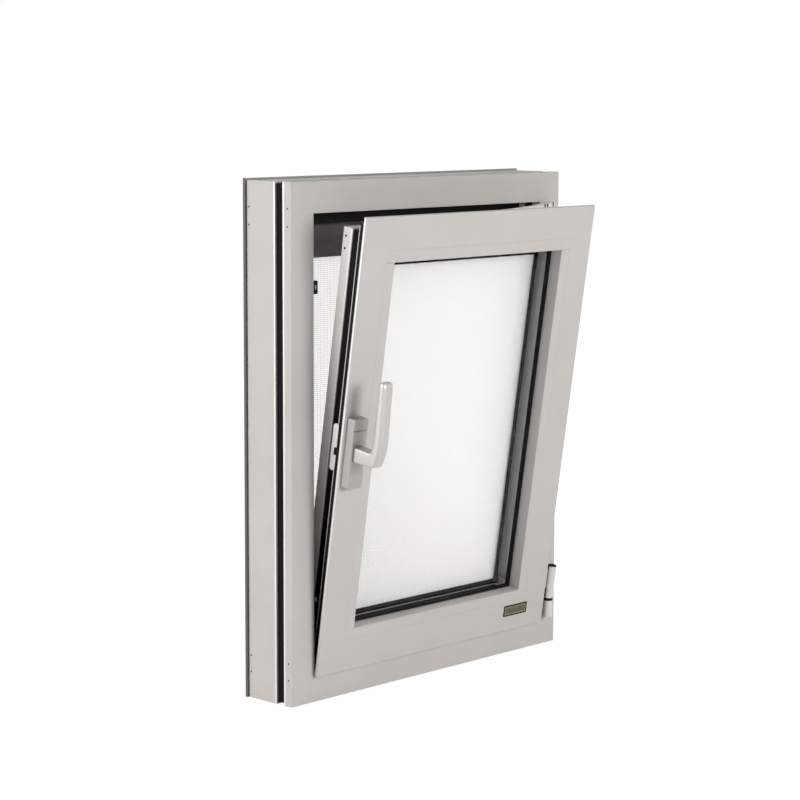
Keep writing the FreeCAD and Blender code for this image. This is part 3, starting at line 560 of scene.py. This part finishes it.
gridPiece("barrelPaintedShade", leaned(shell), "polyamide", wrap=True)


def smoothed(points, steps):
    # a curve through all points, each stretch bent by the points before and after it
    ends = np.vstack([2 * points[:1] - points[1:2], points, 2 * points[-1:] - points[-2:-1]])
    t = np.linspace(0, 1, steps, endpoint=False)[:, None]
    parts = [b + 0.5 * t * (c - a + t * (2 * a - 5 * b + 4 * c - d + t * (3 * (b - c) + d - a)))
             for a, b, c, d in zip(ends, ends[1:], ends[2:], ends[3:])]
    return np.vstack(parts + [points[-1:]])


def withEnds(rows):
    # the rows with the first and last doubled, and shares that shrink those two to a point
    shares = np.ones((len(rows) + 2, 1))
    shares[0] = shares[-1] = 0
    return np.vstack([rows[:1], rows, rows[-1:]]), shares


# Lever: at each station a softened rectangle spans from the inside line of the L to its outside line; the
# power that softens it falls from the neck to the grip. Stations: inside height and reach, outside height
# and reach, share of the width, power.
lever = {"x": -246.2, "half": 11.0, "front": -95.5, "low": 387.5, "between": 4, "sides": 40,
         "stations": [(23, 0.5, 0, 0.5, 1, 9), (23, 12, 0, 14, 1, 9), (23, 22, 0, 27, 1, 8),
                      (23, 27.5, 0.1, 35.5, 1, 7), (23.7, 30.6, 0.8, 40.4, 1, 6),
                      (25.2, 32.5, 3.2, 42.6, 1, 5), (27.4, 33.9, 9, 44.9, 1, 4.5),
                      (30.5, 34.5, 17, 47.5, 1, 4), (38, 34.5, 28, 50, 1, 3.6),
                      (50, 34.5, 42, 51.1, 1, 3.4), (66, 34.5, 61, 50.4, 1, 3.2),
                      (95, 34.5, 92, 49.1, 1, 3.2), (118, 34.5, 117, 48, 1, 3.2),
                      (126, 34.6, 124.6, 47.5, 0.99, 3.2), (130.4, 35.3, 129.4, 46.2, 0.95, 3),
                      (132.3, 36.7, 131.8, 44.3, 0.83, 2.6), (132.9, 38.6, 132.7, 42.4, 0.5, 2.2)]}
line, shrink = withEnds(smoothed(np.array(lever["stations"], float), lever["between"]))
sweep = ring(lever["sides"])
power = 2 / line[:, 5:6]
wide = softened(np.cos(sweep), power) * shrink
deep = softened(np.sin(sweep), power) * shrink
middle, halfSpan = (line[:, :2] + line[:, 2:4]) / 2, (line[:, 2:4] - line[:, :2]) / 2
form = np.zeros((1, len(line), len(sweep), 3))
form[..., 0] = lever["x"] + lever["half"] * line[:, 4:5] * wide
form[..., 1] = lever["front"] - middle[:, 1:] - halfSpan[:, 1:] * deep
form[..., 2] = lever["low"] + middle[:, :1] + halfSpan[:, :1] * deep
grip = gridPiece("leverForm", leaned(form), "silverLacquer", "handle", wrap=True)
grip.data.shade_smooth()
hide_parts("handle_lever")

# Stay: a flat bar swept along a shallow bow from the bearing to the sash's groove, lower and thinner on the
# way, and a pin turned round an upright axis at its end.
stay = {"from": (273.2, -78.0), "to": (74.0, -143.7), "bow": 8.0, "half": 7.0, "top": 751.0, "fall": 3.6,
        "high": 8.0, "thin": 4.0, "firstShare": 0.02, "stations": 25, "sides": 24, "power": 0.25,
        "pinFoot": 731.6, "pinHead": 744.0, "pinEdge": 0.5, "pinRadius": 2.9, "pinShares": (0, 0.85, 1, 1, 0)}
s, shrink = withEnds(np.linspace(stay["firstShare"], 1, stay["stations"])[:, None])
start = np.array(stay["from"])
along = np.array(stay["to"]) - start
across = np.array([-along[1], along[0]]) / np.hypot(*along)
centre = start + along * s + across * stay["bow"] * 4 * s * (1 - s)
sweep = ring(stay["sides"])
flat = softened(np.cos(sweep), stay["power"]) * shrink
tall = softened(np.sin(sweep), stay["power"]) * shrink
halfHigh = (stay["high"] - stay["thin"] * s) / 2
blade = np.zeros((1, len(s), len(sweep), 3))
blade[..., 0] = centre[:, :1] + across[0] * stay["half"] * flat
blade[..., 1] = centre[:, 1:] + across[1] * stay["half"] * flat
blade[..., 2] = stay["top"] - stay["fall"] * s - halfHigh + halfHigh * tall
bladePiece = gridPiece("stayBlade", blade, "zincSteelAndPaintedHighlights", wrap=True)
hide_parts("stay_arm")
radii = np.array(stay["pinShares"])[:, None] * stay["pinRadius"]
rivet = np.zeros((1, len(radii), len(sweep), 3))
rivet[..., 0] = stay["to"][0] + radii * np.cos(sweep)
rivet[..., 1] = stay["to"][1] + radii * np.sin(sweep)
rivet[..., 2] = np.array([stay["pinFoot"], stay["pinFoot"], stay["pinFoot"] + stay["pinEdge"],
                          stay["pinHead"], stay["pinHead"]])[:, None]
gridPiece("stayPin", rivet, "zincSteelAndPaintedHighlights", wrap=True)

# Black ribs on the stay: upright rods half sunk in the front edge of the blade, closed flat at both ends.
ribs = {"shares": (0.04, 0.2, 0.27), "radius": 1.3, "low": 6.5, "proud": 0.4, "sides": 12}
t = np.array(ribs["shares"])[:, None]
foot = start + along * t + across * (stay["bow"] * 4 * t * (1 - t) + stay["half"])
sweep = ring(ribs["sides"])
radii = np.array([0, 1, 1, 0])[:, None] * ribs["radius"]
levels = np.array([-ribs["low"], -ribs["low"], ribs["proud"], ribs["proud"]])[:, None]
rods = np.zeros((len(t), len(radii), len(sweep), 3))
rods[..., 0] = foot[:, 0, None, None] + radii * np.cos(sweep)
rods[..., 1] = foot[:, 1, None, None] + radii * np.sin(sweep)
rods[..., 2] = stay["top"] - stay["fall"] * t[..., None] + levels
gridPiece("stayRibs", rods, "polyamide", wrap=True)
print("small pieces, lever and stay are on")

# Camera, fitted to the corners of the fixed frame and of the leaning sash
view = {"place": (-2768.2, -2616.2, 944.3), "yaw": 46.563, "down": 7.563, "roll": 0.175, "lens": 107.075,
        "sensor": 36.0, "far": 50}
yaw, down, roll = radians(view["yaw"]), radians(view["down"]), radians(view["roll"])
ahead = Vector((sin(yaw) * cos(down), cos(yaw) * cos(down), -sin(down)))
side = Vector((cos(yaw), -sin(yaw), 0))
over = side.cross(ahead)
turnedSide = side * cos(roll) + over * sin(roll)
turnedOver = over * cos(roll) - side * sin(roll)
lens = bpy.data.cameras.new("studioCamera")
lens.lens, lens.sensor_width, lens.sensor_fit = view["lens"], view["sensor"], "HORIZONTAL"
lens.clip_end = view["far"]
camera = bpy.data.objects.new("studioCamera", lens)
bpy.context.scene.collection.objects.link(camera)
camera.matrix_world = Matrix.Translation(Vector(view["place"]) * mm) @ Matrix(
    [[turnedSide[i], turnedOver[i], -ahead[i]] for i in range(3)]).to_4x4()
bpy.context.scene.camera = camera


def seenFirst(tree):
    # 1 for rays that look at, mirror or pass through to a surface before any diffuse bounce, else 0
    path = tree.nodes.new("ShaderNodeLightPath").outputs
    seen = addNode(tree, "Math", {"operation": "MAXIMUM"},
                   {0: path["Is Camera Ray"], 1: path["Is Glossy Ray"]})
    seen = addNode(tree, "Math", {"operation": "MAXIMUM"},
                   {0: seen.outputs[0], 1: path["Is Transmission Ray"]})
    first = addNode(tree, "Math", {"operation": "LESS_THAN", 1: 0.5}, {0: path["Diffuse Depth"]})
    seen = addNode(tree, "Math", {"operation": "MULTIPLY"}, {0: seen.outputs[0], 1: first.outputs[0]})
    return seen.outputs[0]


# Floor: rings about the window; lit paper that keeps the shadow near it, turning to plain white further out
floorSizes = {"rings": (0, 500, 1000, 2000, 4000, 9000), "sides": 48, "below": -0.5, "near": 0.45, "far": 1.6,
              "white": 0.86, "paper": (0.94, 0.94, 0.94, 1), "glow": 1.08}
radii = np.array(floorSizes["rings"])[:, None]
sweep = ring(floorSizes["sides"])
disc = np.zeros((len(radii), len(sweep), 3))
disc[..., 0] = radii * np.cos(sweep)
disc[..., 1] = radii * np.sin(sweep)
disc[..., 2] = floorSizes["below"]
index = np.arange(len(radii) * len(sweep)).reshape(len(radii), -1)
index = np.hstack([index, index[:, :1]])
quads = np.stack([index[:-1, :-1], index[1:, :-1], index[1:, 1:], index[:-1, 1:]], -1).reshape(-1, 4)
mesh = bpy.data.meshes.new("paleFloor")
mesh.from_pydata((disc.reshape(-1, 3) * mm).tolist(), [], quads.tolist())
paleFloor = bpy.data.objects.new("paleFloor", mesh)
bpy.context.scene.collection.objects.link(paleFloor)
material = bpy.data.materials.new("mattWhitePaper")
material.use_nodes = True
tree = material.node_tree
tree.nodes.remove(tree.nodes["Principled BSDF"])
place = tree.nodes.new("ShaderNodeTexCoord").outputs["Object"]
reach = addNode(tree, "VectorMath", {"operation": "LENGTH"}, {0: place})
fade = addNode(tree, "MapRange", {"From Min": floorSizes["near"], "From Max": floorSizes["far"],
                                  "To Min": floorSizes["white"], "To Max": 1.0},
               {"Value": reach.outputs["Value"]})
share = addNode(tree, "Math", {"operation": "MULTIPLY"}, {0: seenFirst(tree), 1: fade.outputs["Result"]})
paper = addNode(tree, "BsdfDiffuse", {"Color": floorSizes["paper"]}, {})
white = addNode(tree, "Emission", {"Color": (1, 1, 1, 1), "Strength": floorSizes["glow"]}, {})
mixed = addNode(tree, "MixShader", {}, {0: share.outputs[0], 1: paper.outputs[0], 2: white.outputs[0]})
wire(tree, tree.nodes["Material Output"], {"Surface": mixed.outputs[0]})
mesh.materials.append(material)

# World: white where it is looked at or mirrored, a softer even light everywhere else
sky = {"shown": 1.0, "soft": 0.24}
world = bpy.data.worlds.new("whiteStudio")
bpy.context.scene.world = world
world.use_nodes = True
tree = world.node_tree
shown = tree.nodes["Background"]
shown.inputs["Color"].default_value = (1, 1, 1, 1)
shown.inputs["Strength"].default_value = sky["shown"]
soft = addNode(tree, "Background", {"Color": (1, 1, 1, 1), "Strength": sky["soft"]}, {})
mixed = addNode(tree, "MixShader", {}, {0: seenFirst(tree), 1: soft.outputs[0], 2: shown.outputs[0]})
wire(tree, tree.nodes["World Output"], {"Surface": mixed.outputs[0]})

# Three broad lamps: one from the front, one for the left sides, one behind that comes through the etched pane
lamps = {"frontLamp": {"place": (0.0, -3.0, 1.05), "size": (1.2, 1.2), "power": 49.0},
         "sideLamp": {"place": (-2.9, 0.9, 1.1), "size": (1.6, 1.6), "power": 52.0},
         "backLamp": {"place": (0.6, 2.4, 0.6), "size": (2.0, 1.2), "power": 55.0}}
lampAim = Vector((0, -0.05, 0.4))
for name, lamp in lamps.items():
    light = bpy.data.lights.new(name, "AREA")
    light.shape, light.energy = "ELLIPSE", lamp["power"]
    light.size, light.size_y = lamp["size"]
    lampObject = bpy.data.objects.new(name, light)
    bpy.context.scene.collection.objects.link(lampObject)
    lampObject.location = lamp["place"]
    lampObject.rotation_euler = (lampAim - Vector(lamp["place"])).to_track_quat("-Z", "Y").to_euler()
    lampObject.visible_camera = False
bpy.context.scene.view_settings.view_transform = "Standard"
print("camera, floor and lamps stand")
